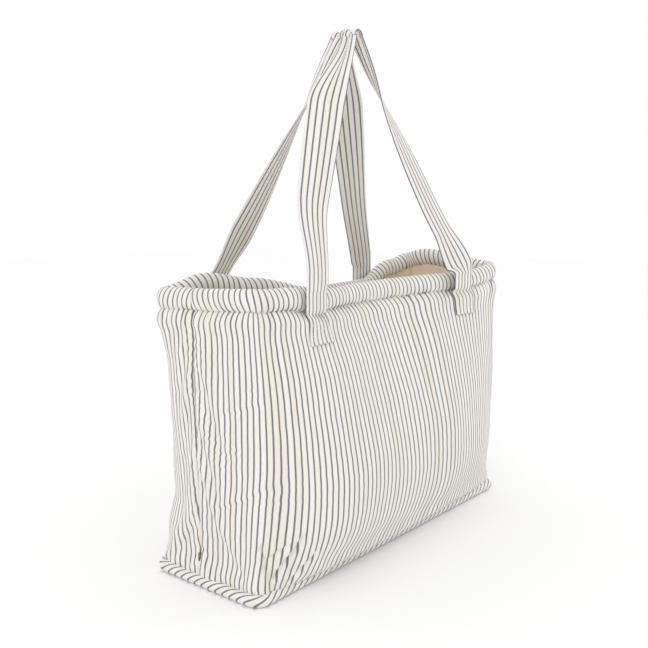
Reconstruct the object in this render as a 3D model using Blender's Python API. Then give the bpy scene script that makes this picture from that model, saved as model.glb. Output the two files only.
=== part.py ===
"""Large quilted cotton tote bag: padded walls between a seamed outer cover and a lining, a stuffed
roll round the mouth, piping round the base, and two flat shoulder straps sewn to the long sides.

Metres, +Z up. X runs along the bag, -Y is the front, and the origin is at the middle of the base,
on the surface that the bag stands on. The straps stand up and lean together, as on a hook.
"""

import math

import bmesh
import bpy
import numpy as np
from mathutils import Vector

# Driving dimensions of the body
LENGTH = 0.591  # over the base piping
DEPTH = 0.197  # over the base piping
HEIGHT = 0.380  # floor to the top of the rim roll, at its plain height
PIPING_RADIUS = 0.008
ROLL_HALF_THICK = 0.011
ROLL_HALF_TALL = 0.014

# Layers of the wall, from its outer face inwards
CLOTH = 0.0012
WADDING = 0.0045
LINING = 0.0010
GAP = 0.0004  # between pieces that touch
FILLER_EASE = 0.0010  # between a filler and the flat facets of its cover
WALL = CLOTH + GAP + WADDING + GAP + LINING

# The wall's outer face
FOOT_INSET = 0.0143  # from the outside of the piping to the wall's lower edge
WALL_FOOT = 0.0140  # height of the wall's lower edge
FOOT_CORNER = 0.008
TOP_CORNER = 0.026
TOP_HALF_LENGTH = LENGTH / 2 - 0.0045
TOP_HALF_DEPTH = 0.0925
BELLY = 0.053  # how far each long side swells past the line from foot to rim
BELLY_PEAK = 0.31  # the share of the height where it swells most
BELLY_LEAN = 0.25  # how much fuller the left end of the belly is than its middle
END_SWELL = 0.004
SEAM_Y = {"left": 0.010, "right": 0.0}  # where the side seams stand across each end
SEAM_GAP = 0.0002

# The rim rises and falls: (share of the way round from the left side seam, lift over HEIGHT).
# The share runs past the front first: 0.06 and 0.44 are the front corners, 0.56 and 0.94 the back ones.
RIM_LIFT = (
    (0.00, 0.006), (0.06, 0.010), (0.10, 0.009), (0.15, 0.000), (0.28, 0.001), (0.34, 0.008),
    (0.38, 0.005), (0.45, 0.013), (0.53, 0.029), (0.57, 0.021), (0.60, 0.012), (0.66, -0.014),
    (0.77, -0.014), (0.84, 0.005), (0.89, 0.016), (0.94, 0.002),
)  # fmt: skip
FRONT_PULL = 0.027  # how far the middle of the front rim is drawn in
BACK_PULL = 0.0345
FRONT_PULL_HALF = 0.240  # half the length of rim that it draws in
BACK_PULL_HALF = 0.220

# Straps
STRAP_WIDTH = 0.050
STRAP_THICK = 0.003
STRAP_APEX_WIDTH = 0.0275  # where the strap is bunched over a hook
FOOT_X = {"front": (-0.1705, 0.1795), "back": (-0.1675, 0.1645)}
STRAP_FOOT_Y = 0.0995  # middle of the strap's thickness at its hinge
STRAP_FOOT_Z = 0.380
APEX_X = -0.0035
APEX_Z = 0.7300  # middle of the strap's thickness
APEX_BEND = 0.007
TWIST_POWER = 2.1
PATCH_DROP = 0.040  # from the wall's upper edge to the foot of the sewn patch
PATCH_TALL = 0.030
ROLL_CLEAR = 0.004  # over the wall's upper edge, where the strap is clear of the rim roll
PATCH_GAP = 0.0018
STITCH_THICK = 0.0006
STITCH_WIDTH = 0.0012
STITCH_INSET = 0.005  # from the edges of the patch

# Mesh density
END_STEPS = 2
CORNER_STEPS = 3
LONG_STEPS = 12
WALL_ROWS = 8
TUBE_SIDES = 8
LEG_STEPS = 14
PATCH_COLUMNS = 6
PATCH_ROWS = 4
STITCH_STEPS = 5

COLOURS = {
    "striped_cotton": (0.78, 0.76, 0.72),
    "wadding": (0.88, 0.88, 0.86),
    "lining": (0.67, 0.52, 0.38),
    "thread": (0.86, 0.84, 0.79),
    "label": (0.42, 0.24, 0.09),
}


def clear_scene():
    for item in list(bpy.data.objects):
        bpy.data.objects.remove(item)


def cloth_material(name, colour, roughness):
    material = bpy.data.materials.new(name)
    material.use_nodes = True
    shader = material.node_tree.nodes["Principled BSDF"]
    shader.inputs["Base Color"].default_value = (*colour, 1.0)
    shader.inputs["Roughness"].default_value = roughness
    shader.inputs["Metallic"].default_value = 0.0
    return material


def add_solid(name, vertices, faces, material, pivot=(0, 0, 0)):
    """One closed body, with its faces turned out and its origin at pivot."""
    shape = bmesh.new()
    made = [shape.verts.new(Vector(v) - Vector(pivot)) for v in vertices]
    for face in faces:
        shape.faces.new([made[i] for i in face])
    bmesh.ops.recalc_face_normals(shape, faces=shape.faces)
    if shape.calc_volume(signed=True) < 0:
        bmesh.ops.reverse_faces(shape, faces=shape.faces)
    mesh = bpy.data.meshes.new(name)
    shape.to_mesh(mesh)
    shape.free()
    mesh.shade_smooth()
    mesh.set_sharp_from_angle(angle=math.radians(40))
    item = bpy.data.objects.new(name, mesh)
    item.location = pivot
    mesh.materials.append(cloth_material(name, COLOURS[material], 0.9))
    bpy.context.scene.collection.objects.link(item)
    return item


def smoothstep(value):
    value = min(1.0, max(0.0, value))
    return value * value * (3 - 2 * value)


# ---------------------------------------------------------------- the wall's shape


def rim_lift(share):
    """Height of the rim over its plain height, share of the way round the bag."""
    keys = [*RIM_LIFT, (1.0 + RIM_LIFT[0][0], RIM_LIFT[0][1])]
    for (start, low), (end, high) in zip(keys, keys[1:]):
        if start <= share <= end:
            return low + (high - low) * smoothstep((share - start) / (end - start))
    return keys[0][1]


def half_outline(half_length, half_depth, radius, left_y=0.0, right_y=0.0):
    """Points and outward normals of the front half of a round-cornered rectangle, left seam to right."""
    points = []
    normals = []
    straight = half_depth - radius
    for i in range(END_STEPS):
        points.append((-half_length, left_y - (straight + left_y) * i / END_STEPS))
        normals.append((-1.0, 0.0))
    corners = ((-1, math.pi), (1, 1.5 * math.pi))
    for side, start in corners:
        for i in range(CORNER_STEPS + 1):
            angle = start + 0.5 * math.pi * i / CORNER_STEPS
            normal = (math.cos(angle), math.sin(angle))
            centre = (side * (half_length - radius), -straight)
            points.append((centre[0] + radius * normal[0], centre[1] + radius * normal[1]))
            normals.append(normal)
        if side < 0:
            first = points[-1]
            for i in range(1, LONG_STEPS):
                step = 2 * (half_length - radius) * i / LONG_STEPS
                points.append((first[0] + step, first[1]))
                normals.append((0.0, -1.0))
    for i in reversed(range(END_STEPS)):
        points.append((half_length, right_y - (straight + right_y) * i / END_STEPS))
        normals.append((1.0, 0.0))
    return np.array(points), np.array(normals)


def shares_round(points):
    """Share of the way round the bag for each point of a front half outline, from 0 to 0.5."""
    steps = np.linalg.norm(np.diff(points, axis=0), axis=1)
    return 0.5 * np.concatenate([[0.0], np.cumsum(steps)]) / steps.sum()


def swell(share_along, height_share):
    """The belly of a long side: 0 at foot and rim, 1 at its fullest."""
    peak = math.log(0.5) / math.log(BELLY_PEAK)
    profile = math.sin(math.pi * height_share**peak) ** 0.9 if 0 < height_share < 1 else 0.0
    return profile * (1 - abs(share_along) ** 4.5) * (1 - BELLY_LEAN * share_along)


def rim_pull(side, x, height_share):
    """How far the rim is drawn towards the middle of the bag at x."""
    amount, half = (FRONT_PULL, FRONT_PULL_HALF) if side == "front" else (BACK_PULL, BACK_PULL_HALF)
    if abs(x) >= half:
        return 0.0
    return amount * (1 - (x / half) ** 2) ** 2 * height_share**2.5


def wall_grid(side, inset, seam_room=SEAM_GAP):
    """Rows of points of one half of the wall, inset from its outer face, and the normals of its outline."""
    rows = []
    mirror = -1.0 if side == "back" else 1.0
    seams = (mirror * SEAM_Y["left"], mirror * SEAM_Y["right"])
    foot_size = (LENGTH / 2 - FOOT_INSET, DEPTH / 2 - FOOT_INSET)
    foot, _ = half_outline(*foot_size, FOOT_CORNER, *seams)
    shares = shares_round(foot)
    for row in range(WALL_ROWS + 1):
        t = row / WALL_ROWS
        half_length = foot_size[0] * (1 - t) + TOP_HALF_LENGTH * t - inset
        half_depth = foot_size[1] * (1 - t) + TOP_HALF_DEPTH * t - inset
        radius = FOOT_CORNER + (TOP_CORNER - FOOT_CORNER) * math.sqrt(t) - inset
        points, normals = half_outline(half_length, half_depth, radius, *seams)
        line = []
        for (x, y), share in zip(points, shares):
            round_bag = share if side == "front" else 1.0 - share
            across = min(1.0, -y / half_depth)
            out = BELLY * swell(x / half_length, t) - rim_pull(side, x, t)
            end = END_SWELL * math.sin(math.pi * t) * (1 - across**2)
            top = HEIGHT - 2 * ROLL_HALF_TALL + rim_lift(round_bag)
            z = WALL_FOOT + (top - WALL_FOOT) * t
            line.append([x + math.copysign(end, x), mirror * (y - out * across), z])
        for last in (0, -1):
            line[last][1] -= mirror * seam_room
        rows.append(line)
    return np.array(rows), normals * np.array([1.0, mirror])


def skin_between(name, outer, inner, material):
    """A closed body between two open grids of the same size."""
    rows, columns = outer.shape[:2]
    vertices = np.concatenate([outer.reshape(-1, 3), inner.reshape(-1, 3)])
    inside = rows * columns
    faces = []
    for r in range(rows - 1):
        for c in range(columns - 1):
            a = r * columns + c
            b = a + columns
            for triangle in ((a, a + 1, b + 1), (a, b + 1, b)):
                faces.append(triangle)
                faces.append(tuple(i + inside for i in reversed(triangle)))
    edge = [c for c in range(columns)]
    edge += [r * columns + columns - 1 for r in range(1, rows)]
    edge += [(rows - 1) * columns + c for c in reversed(range(columns - 1))]
    edge += [r * columns for r in reversed(range(1, rows - 1))]
    for a, b in zip(edge, edge[1:] + edge[:1]):
        faces.append((a, a + inside, b + inside, b))
    return add_solid(name, vertices, faces, material)


def add_wall_layer(name, side, inset, thickness, material, seam_room=SEAM_GAP):
    outer, _ = wall_grid(side, inset, seam_room)
    inner, _ = wall_grid(side, inset + thickness, seam_room)
    return skin_between(name, outer, inner, material)


# ---------------------------------------------------------------- tubes


def sweep(name, frames, section, material, closed=False, pivot=(0, 0, 0)):
    """Carries a section of (across, up) points along frames of (centre, across axis, up axis, section)."""
    vertices = []
    for centre, across, up in frames:
        for a, b in section:
            vertices.append(np.array(centre) + a * np.array(across) + b * np.array(up))
    sides = len(section)
    count = len(frames)
    faces = []
    for i in range(count if closed else count - 1):
        j = (i + 1) % count
        for k in range(sides):
            m = (k + 1) % sides
            faces.append((i * sides + k, i * sides + m, j * sides + m, j * sides + k))
    if not closed:
        faces.append(tuple(reversed(range(sides))))
        faces.append(tuple((count - 1) * sides + k for k in range(sides)))
    return add_solid(name, vertices, faces, material, pivot)


def oval(half_across, half_up):
    angles = [2 * math.pi * (i + 0.5) / TUBE_SIDES for i in range(TUBE_SIDES)]
    return [(half_across * math.cos(a), half_up * math.sin(a)) for a in angles]


def open_oval(half_across, half_up, thickness, mouth_angle, mouth_half):
    """A C-shaped section, open at mouth_angle."""
    start = mouth_angle + mouth_half
    span = 2 * math.pi - 2 * mouth_half
    angles = [start + span * i / TUBE_SIDES for i in range(TUBE_SIDES + 1)]
    outside = [(half_across * math.cos(a), half_up * math.sin(a)) for a in angles]
    inner_across = half_across - thickness
    inner_up = half_up - thickness
    inside = [(inner_across * math.cos(a), inner_up * math.sin(a)) for a in reversed(angles)]
    return outside + inside


def rim_frames(side):
    """Frames along the middle of the rim roll, left seam to right."""
    rows, normals = wall_grid(side, WALL / 2)
    frames = []
    for point, normal in zip(rows[-1], normals):
        centre = point + np.array([0.0, 0.0, ROLL_HALF_TALL + GAP])
        frames.append((centre, (normal[0], normal[1], 0.0), (0.0, 0.0, 1.0)))
    return frames


def add_rim():
    inner_across = ROLL_HALF_THICK - CLOTH - FILLER_EASE
    inner_up = ROLL_HALF_TALL - CLOTH - FILLER_EASE
    cover = open_oval(ROLL_HALF_THICK, ROLL_HALF_TALL, CLOTH, -0.5 * math.pi, math.radians(24))
    for side in ("front", "back"):
        frames = rim_frames(side)
        sweep(f"{side}_rim_cover", frames, cover, "striped_cotton")
        sweep(f"{side}_rim_filler", frames, oval(inner_across, inner_up), "wadding")


def loop_outline(half_length, half_depth, radius):
    """The whole outline, each corner once, counter-clockwise from the left seam."""
    points, normals = half_outline(half_length, half_depth, radius)
    mirror = np.array([1.0, -1.0])
    back = points[-2:0:-1] * mirror
    back_normals = normals[-2:0:-1] * mirror
    return np.concatenate([points, back]), np.concatenate([normals, back_normals])


def add_base_piping():
    inset = PIPING_RADIUS
    corner = FOOT_CORNER + FOOT_INSET - PIPING_RADIUS
    points, normals = loop_outline(LENGTH / 2 - inset, DEPTH / 2 - inset, corner)
    frames = [
        ((x, y, PIPING_RADIUS), (nx, ny, 0.0), (0.0, 0.0, 1.0))
        for (x, y), (nx, ny) in zip(points, normals)
    ]
    cover = open_oval(PIPING_RADIUS, PIPING_RADIUS, CLOTH, math.pi, math.radians(20))
    core = PIPING_RADIUS - CLOTH - FILLER_EASE
    sweep("base_piping_cover", frames, cover, "striped_cotton", closed=True)
    sweep("base_piping_cord", frames, oval(core, core), "wadding", closed=True)


def add_plate(name, half_length, half_depth, radius, low, high, material):
    points, _ = loop_outline(half_length, half_depth, radius)
    count = len(points)
    vertices = [(x, y, low) for x, y in points] + [(x, y, high) for x, y in points]
    faces = [tuple(reversed(range(count))), tuple(range(count, 2 * count))]
    for i in range(count):
        j = (i + 1) % count
        faces.append((i, j, count + j, count + i))
    return add_solid(name, vertices, faces, material)


def add_base():
    inset = 2 * PIPING_RADIUS + GAP
    corner = FOOT_CORNER + FOOT_INSET - inset
    heights = (
        ("base_panel", 0.0, CLOTH, "striped_cotton"),
        ("base_wadding", CLOTH + GAP, CLOTH + GAP + WADDING, "wadding"),
        ("base_lining", CLOTH + 2 * GAP + WADDING, WALL, "lining"),
    )
    for name, low, high, material in heights:
        add_plate(name, LENGTH / 2 - inset, DEPTH / 2 - inset, corner, low, high, material)


# ---------------------------------------------------------------- walls and seams


def add_walls():
    seam_room = 0.0055
    for side in ("front", "back"):
        add_wall_layer(f"{side}_panel", side, 0.0, CLOTH, "striped_cotton")
        inset = CLOTH + GAP
        add_wall_layer(f"{side}_wadding", side, inset, WADDING, "wadding", seam_room)
        inset += WADDING + GAP
        add_wall_layer(f"{side}_lining", side, inset, LINING, "lining")


def add_seam_allowances():
    """The turned-in edges of the two panels, a strip down the inside of each side seam."""
    half_width = 0.005
    for name, column in (("left", 0), ("right", -1)):
        outer, _ = wall_grid("front", CLOTH + GAP)
        inner, _ = wall_grid("front", CLOTH + GAP + WADDING)
        grids = []
        for rows in (outer, inner):
            line = rows[:, column]
            reach = np.array([0.0, half_width, 0.0])
            grids.append(np.stack([line - reach, line + reach], axis=1))
        skin_between(f"{name}_seam_allowance", *grids, "striped_cotton")


def add_seam_label():
    """A small plain tab caught in the left side seam near the base."""
    low, high = 0.0275, 0.0385
    rows, _ = wall_grid("front", 0.0)
    seam = rows[:, 0]
    x = float(np.interp((low + high) / 2, seam[:, 2], seam[:, 0])) - 0.0006
    reach, half_thick = 0.0042, 0.0005
    corners = [(x, low), (x - reach, low + 0.0008), (x - reach, high - 0.0008), (x, high)]
    middle = SEAM_Y["left"]
    vertices = [(a, middle + y, b) for y in (-half_thick, half_thick) for a, b in corners]
    faces = [(0, 1, 2, 3), (7, 6, 5, 4)]
    faces += [(i, (i + 1) % 4, (i + 1) % 4 + 4, i + 4) for i in range(4)]
    add_solid("seam_label", vertices, faces, "label")


# ---------------------------------------------------------------- straps


def strap_width(share):
    """Width of the strap, share of the way up a leg: full, then gathered where it passes the hook."""
    return STRAP_WIDTH + (STRAP_APEX_WIDTH - STRAP_WIDTH) * smoothstep((share - 0.72) / 0.26)


def leg_frames(side, foot_x):
    """Frames up one leg of a strap, foot to just below the bend: (centre, width axis, thickness axis)."""
    out = -1.0 if side == "front" else 1.0
    foot = Vector((foot_x, out * STRAP_FOOT_Y, STRAP_FOOT_Z))
    hand = 1.0 if foot_x > APEX_X else -1.0
    apex_y = out * (STRAP_APEX_WIDTH / 2 + GAP)
    top = Vector((APEX_X + hand * APEX_BEND, apex_y, APEX_Z - APEX_BEND))
    along = (top - foot).normalized()
    turn = math.copysign(1.0, -out * hand) * 0.5 * math.pi
    frames = []
    for i in range(LEG_STEPS + 1):
        share = i / LEG_STEPS
        angle = turn * share**TWIST_POWER
        width_axis = Vector((math.cos(angle), math.sin(angle), 0.0))
        if share > 0:
            width_axis = (width_axis - along * width_axis.dot(along)).normalized()
        across = along.cross(width_axis).normalized() if share > 0 else Vector((0.0, 1.0, 0.0))
        frames.append((foot.lerp(top, share), width_axis, across, strap_width(share)))
    return frames


def add_strap(side):
    """The free run of a strap from hinge to hinge, with its origin on the hinge's axis."""
    out = -1.0 if side == "front" else 1.0
    left, right = (leg_frames(side, x) for x in FOOT_X[side])
    crown = []
    middle = Vector((APEX_X, left[-1][0].y, APEX_Z - APEX_BEND))
    for angle in (150, 120, 90, 60, 30):
        reach = Vector((math.cos(math.radians(angle)), 0.0, math.sin(math.radians(angle))))
        crown.append((middle + APEX_BEND * reach, Vector((0.0, out, 0.0)), -reach, STRAP_APEX_WIDTH))
    vertices = []
    last_width = left[0][1]
    last_across = left[0][2]
    for centre, width_axis, across, width in left + crown + list(reversed(right)):
        last_width = width_axis if width_axis.dot(last_width) > 0 else -width_axis
        last_across = across if across.dot(last_across) > 0 else -across
        for w, t in ((-0.5, -0.5), (0.5, -0.5), (0.5, 0.5), (-0.5, 0.5)):
            vertices.append(centre + last_width * (w * width) + last_across * (t * STRAP_THICK))
    count = len(vertices) // 4
    faces = [(3, 2, 1, 0), tuple(4 * (count - 1) + k for k in range(4))]
    for i in range(count - 1):
        for k in range(4):
            m = (k + 1) % 4
            faces.append((4 * i + k, 4 * i + m, 4 * i + 4 + m, 4 * i + 4 + k))
    return add_solid(f"{side}_strap", vertices, faces, "striped_cotton", hinge_point(side))


def hinge_point(side):
    """The strap folds outwards about the outer face of its sewn end."""
    out = -1.0 if side == "front" else 1.0
    return (APEX_X, out * (STRAP_FOOT_Y + STRAP_THICK / 2), STRAP_FOOT_Z)


def long_side(side):
    """The outer face of a long side as (x, y, z) rows, without the rounded ends."""
    rows, _ = wall_grid(side, 0.0)
    ends = END_STEPS + CORNER_STEPS
    return rows[:, ends:-ends]


def wall_y(side, x, z):
    """The outer face of the wall on a long side, at x and z."""
    rows = long_side(side)
    heights = [float(np.interp(x, row[:, 0], row[:, 2])) for row in rows]
    faces = [float(np.interp(x, row[:, 0], row[:, 1])) for row in rows]
    return float(np.interp(z, heights, faces))


def patch_heights(side, foot_x):
    """Lower and upper edge of a sewn patch, which hangs from the rim's own height there."""
    top_row = long_side(side)[-1]
    low = float(np.interp(foot_x, top_row[:, 0], top_row[:, 2])) - PATCH_DROP
    return low, low + PATCH_TALL


def strap_end_grid(side, foot_x, offset):
    """Rows of points of a sewn end, offset from the wall's outer face, then out over the rim roll."""
    out = -1.0 if side == "front" else 1.0
    columns = np.linspace(foot_x - STRAP_WIDTH / 2, foot_x + STRAP_WIDTH / 2, PATCH_COLUMNS)
    low, high = patch_heights(side, foot_x)
    rows = []
    for z in np.linspace(low, high, PATCH_ROWS):
        rows.append([(x, wall_y(side, x, z) + out * offset, z) for x in columns])
    top_y = out * (STRAP_FOOT_Y - STRAP_THICK / 2 - PATCH_GAP + offset)
    for z in (low + PATCH_DROP + ROLL_CLEAR, STRAP_FOOT_Z - GAP):
        rows.append([(x, top_y, z) for x in columns])
    return np.array(rows)


def add_strap_end(side, hand, foot_x):
    """The sewn end of a strap, from the foot of its patch to the hinge."""
    outer = strap_end_grid(side, foot_x, PATCH_GAP + STRAP_THICK)
    inner = strap_end_grid(side, foot_x, PATCH_GAP)
    skin_between(f"{side}_{hand}_strap_end", outer, inner, "striped_cotton")


def box_loop(half_wide, half_tall):
    """Points round a rectangle, close enough together to follow the cloth."""
    corners = [(-half_wide, -half_tall), (half_wide, -half_tall), (half_wide, half_tall)]
    corners += [(-half_wide, half_tall), corners[0]]
    points = []
    for (x0, z0), (x1, z1) in zip(corners, corners[1:]):
        for i in range(STITCH_STEPS):
            share = i / STITCH_STEPS
            points.append((x0 + (x1 - x0) * share, z0 + (z1 - z0) * share))
    return points


def add_box_stitch(side, hand, foot_x):
    """The line of thread that holds a strap end down, once round its patch."""
    out = -1.0 if side == "front" else 1.0
    low, high = patch_heights(side, foot_x)
    half_wide = STRAP_WIDTH / 2 - STITCH_INSET
    half_tall = (high - low) / 2 - STITCH_INSET
    middle_z = (high + low) / 2
    cloth = PATCH_GAP + STRAP_THICK + 2 * GAP
    loops = []
    for grow, height in ((-0.5, 0), (0.5, 0), (0.5, STITCH_THICK), (-0.5, STITCH_THICK)):
        grow *= STITCH_WIDTH
        loop = []
        for px, pz in box_loop(half_wide + grow, half_tall + grow):
            x, z = foot_x + px, middle_z + pz
            loop.append((x, wall_y(side, x, z) + out * (cloth + height), z))
        loops.append(loop)
    count = len(loops[0])
    vertices = [point for loop in loops for point in loop]
    faces = []
    for k in range(4):
        m = (k + 1) % 4
        for i in range(count):
            j = (i + 1) % count
            faces.append((k * count + i, k * count + j, m * count + j, m * count + i))
    add_solid(f"{side}_{hand}_box_stitch", vertices, faces, "thread")


def main():
    clear_scene()
    add_walls()
    add_seam_allowances()
    add_rim()
    add_base_piping()
    add_base()
    add_seam_label()
    for side in ("front", "back"):
        add_strap(side)
        for hand, foot_x in zip(("left", "right"), FOOT_X[side]):
            add_strap_end(side, hand, foot_x)
            add_box_stitch(side, hand, foot_x)


main()
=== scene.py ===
"""Looks of a quilted striped cotton tote bag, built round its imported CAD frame.

Metres, +Z up. X runs along the bag, -Y is the front, and the bag stands on z = 0. Walls, rim roll,
piping and straps are made here as fine cloth surfaces over the plain CAD solids. Each one keeps its
cloth coordinates in a UV map, in metres: u across the stripes, v along them.
"""

import math

import bpy
import numpy as np
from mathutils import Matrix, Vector, noise


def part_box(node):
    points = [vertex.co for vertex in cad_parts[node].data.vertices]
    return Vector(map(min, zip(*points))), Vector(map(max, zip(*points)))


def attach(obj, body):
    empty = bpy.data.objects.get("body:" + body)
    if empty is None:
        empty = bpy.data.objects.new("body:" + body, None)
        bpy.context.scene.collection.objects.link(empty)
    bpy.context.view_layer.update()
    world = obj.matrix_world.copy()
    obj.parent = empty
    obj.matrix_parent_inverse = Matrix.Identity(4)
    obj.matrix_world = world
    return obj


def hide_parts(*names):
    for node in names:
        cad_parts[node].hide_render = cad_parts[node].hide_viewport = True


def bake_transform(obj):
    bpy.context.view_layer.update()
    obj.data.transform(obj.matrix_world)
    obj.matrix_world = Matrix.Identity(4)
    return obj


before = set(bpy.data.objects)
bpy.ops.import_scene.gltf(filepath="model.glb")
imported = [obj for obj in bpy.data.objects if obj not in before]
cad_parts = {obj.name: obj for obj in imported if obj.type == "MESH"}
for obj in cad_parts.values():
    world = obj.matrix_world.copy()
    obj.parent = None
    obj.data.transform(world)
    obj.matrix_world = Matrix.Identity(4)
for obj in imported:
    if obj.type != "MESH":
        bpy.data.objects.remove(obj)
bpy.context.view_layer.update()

# The body, at the CAD's size. Its seam, its rim's waves and its slump differ a little from the CAD
LENGTH = 0.591
DEPTH = 0.197
HEIGHT = 0.380
PIPING_RADIUS = 0.008
ROLL_HALF_TALL = 0.014
GAP = 0.0004  # between layers
WALL = 0.0075  # cover, wadding and lining together
BASE_TOP = 0.0061  # the upper face of the base's padded panel
LINING = 0.0010
FOOT_INSET = 0.0143  # from the piping's outer edge to the wall's foot
WALL_FOOT = 0.0140
FOOT_CORNER = 0.008
TOP_CORNER = 0.026
TOP_HALF_LENGTH = LENGTH / 2 - 0.0045
TOP_HALF_DEPTH = 0.0925
BELLY = 0.053  # how far a long side swells
BELLY_PEAK = 0.31  # share of the height where it is fullest
BELLY_LEAN = 0.25  # how much fuller it is at the left than in the middle
END_SWELL = 0.004
LEFT_SEAM_Y = 0.012  # at the rim
LEFT_SEAM_SLANT = 0.004  # further back at the foot
RIGHT_FLARE = 0.0075  # how far the right end leans out
BACK_WAIST = 0.0160  # how far the back left corner is drawn in, half way up
# The rim's height over its plain height, at shares of the way round
RIM_LIFT = (
    (0.00, 0.006), (0.06, 0.010), (0.10, 0.009), (0.15, 0.000), (0.28, 0.001), (0.34, 0.002),
    (0.38, 0.003), (0.45, 0.013), (0.53, 0.029), (0.57, 0.021), (0.60, 0.012), (0.66, -0.014),
    (0.77, -0.014), (0.84, 0.005), (0.89, 0.016), (0.94, 0.002), (1.00, 0.006),
)  # fmt: skip
RIM_PULL = {"front": (0.027, 0.240), "back": (0.0345, 0.220)}  # depth and half length of the pull

# The straps. Their feet and their apex stand up to 17 mm from the CAD's
STRAP_WIDTH = 0.050
STRAP_THICK = 0.003
STRAP_EDGE_SOFT = 0.75  # how much thinner the strap is at its edges
STRAP_APEX_WIDTH = 0.0220
FOOT_X = {"front": (-0.1765, 0.1795), "back": (-0.1675, 0.1690)}
STRAP_FOOT_Y = 0.0995
STRAP_FOOT_Z = 0.380
APEX_X = -0.0035
APEX_Z = 0.7250
APEX_BEND = 0.007
PATCH_DROP = 0.040
PATCH_TALL = 0.030
# Of the left and right leg of each strap: turn of its foot in radians, how late it twists, and how
# far it bows inwards along Y and along X from a straight line to the apex
FOOT_TURN = {"front": (0.0, -0.40), "back": (0.28, 0.0)}
TWIST_POWER = {"front": (2.1, 3.6), "back": (2.1, 2.1)}
LEAN_Y = {"front": (0.013, 0.006), "back": (0.004, 0.0)}
BOW_X = {"front": (-0.016, 0.0), "back": (0.0, -0.007)}
FOOT_PINCH = {"front": (0.24, 0.0), "back": (0.0, 0.0)}  # how much narrower a leg is at its hinge
FOOT_SLIP = {"front": (-0.011, -0.013), "back": (0.0, 0.0)}  # from the patch to the hinge, along X
PATCH_RISE = 0.014  # from the top of the sewn patch to where the strap clears the rim roll

# The cloth and its stripes
STRIPE_PITCH = 0.0090
STRIPE_WIDTH = 0.0024
THREAD_PITCH = 0.0007
WEAVE_HEIGHT = 0.00012
STRAP_FIRST_STRIPE = 0.0047  # from the strap's left edge
CORNER_EASE = 0.017  # spare cloth gathered into each upright corner
EASE_WIDTH = 0.034
BELLY_EASE = 0.010  # more spare cloth at the corners, half way up
SEAM_SHIFT = 0.0022  # how far the stripes are dragged along the rim seam
END_SWEEP = 0.010  # how far the left end's stripes sweep forwards at the foot
FRONT_SWEEP = 0.008  # and how far the front's sweep to the left
CRINKLE_DRAG = 1.6  # how far crinkles drag the stripes, as a multiple of end_crinkles
STRIPE_SPREAD = 0.28  # how much wider the stripes stand at the right of the front
SPREAD_FROM = -0.16
SPREAD_REACH = 0.26

# Seams, gathers and creases
HEM_PUFF = 0.0030  # how far the wadding stands out beside the rim seam and the foot seam
RIM_SEAM_DEPTH = 0.0050
SIDE_SEAM_DEPTH = 0.0022
BROAD_DENTS = 0.0020  # soft dents all over the walls
CRINKLE_HEIGHT = 0.0007
CRINKLE_STAND = 0.9  # how far crinkles stand out, as a multiple of end_crinkles
CORNER_U = 0.285  # cloth coordinate of the upright corners
END_OVERHANG = 0.0060  # how far the ends bulge over the piping
FOOT_SAG = 0.0045  # how far the wall's foot sinks towards the piping
END_SAG = 0.0030  # and how much further at the ends
FOLDS = (
    # start and end as (u, z), depth, and how far the stripes jog
    ((-0.362, 0.108), (-0.255, 0.160), 0.0009, 0.0010),
    ((-0.288, 0.078), (-0.270, 0.028), 0.0034, 0.0008),
    ((-0.236, 0.086), (-0.268, 0.028), 0.0038, 0.0),
    ((-0.250, 0.078), (-0.274, 0.060), 0.0024, 0.0007),
    ((-0.212, 0.062), (-0.243, 0.024), 0.0018, 0.0),
    ((-0.345, 0.235), (-0.280, 0.256), 0.0008, 0.0009),
)

# The rim roll, the side tab and the stitches
ROLL_HALF_THICK = 0.0090
ROLL_MEAN_RADIUS = 0.0125  # for the cloth coordinate round the roll
ROLL_INSET = 0.0065  # from the wall's face to the middle of the roll
ROLL_SINK = 0.0020  # how far the roll is drawn down on the wall
ROLL_SLANT = 0.0040  # how far the stripes lean round the roll
LABEL_LIFT = 0.004
STITCH_SECTIONS = (
    # share of the stitch's length, height over the cloth and radius
    (0.0, -0.0004, 0.00012), (0.15, 0.0001, 0.00032), (0.5, 0.0002, 0.00036),
    (0.85, 0.0001, 0.00032), (1.0, -0.0004, 0.00012),
)  # fmt: skip
STITCH_SIDES = 6

FALL_MOST = 0.0030  # how far the simulated cloth may leave the smooth wall
SINK_MOST = 0.0015  # and how far of that inwards

# How fine the meshes and the simulation are
WALL_COLUMNS = 300
WALL_ROWS = 150
CLOTH_COLUMNS = 120  # of the simulated cloth
CLOTH_ROWS = 62
FALL_FRAMES = 28
LINING_COLUMNS = 180
LINING_ROWS = 90
ROLL_COLUMNS = 620
ROLL_SIDES = 40
PIPING_STEPS = 900
PIPING_SIDES = 28
BASE_ROWS = 60
BASE_COLUMNS = 190
STRAP_COLUMNS = 25
SEWN_ROWS = 34
LEG_STEPS = 150

OUT = {"front": -1.0, "back": 1.0}  # the way each long side faces, along Y
LIT_MIDDLE = Vector((0.0, 0.0, 0.25))  # what the lights point at


def smooth(value):
    """0 under 0, 1 over 1 and a smooth step between."""
    value = np.clip(value, 0.0, 1.0)
    return value * value * (3 - 2 * value)


def hump(distance, middle, reach):
    """1 at the middle of a soft hump, falling to nothing some way past its reach."""
    return np.exp(-(((distance - middle) / reach) ** 2))


# ---------------------------------------------------------------- the wall's shape


def rim_lift(share):
    """Height of the rim over its plain height, share of the way round the bag."""
    keys = np.array(RIM_LIFT)
    i = np.clip(np.searchsorted(keys[:, 0], share, side="right") - 1, 0, len(keys) - 2)
    start, low = keys[i, 0], keys[i, 1]
    end, high = keys[i + 1, 0], keys[i + 1, 1]
    return low + (high - low) * smooth((share - start) / (end - start))


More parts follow.
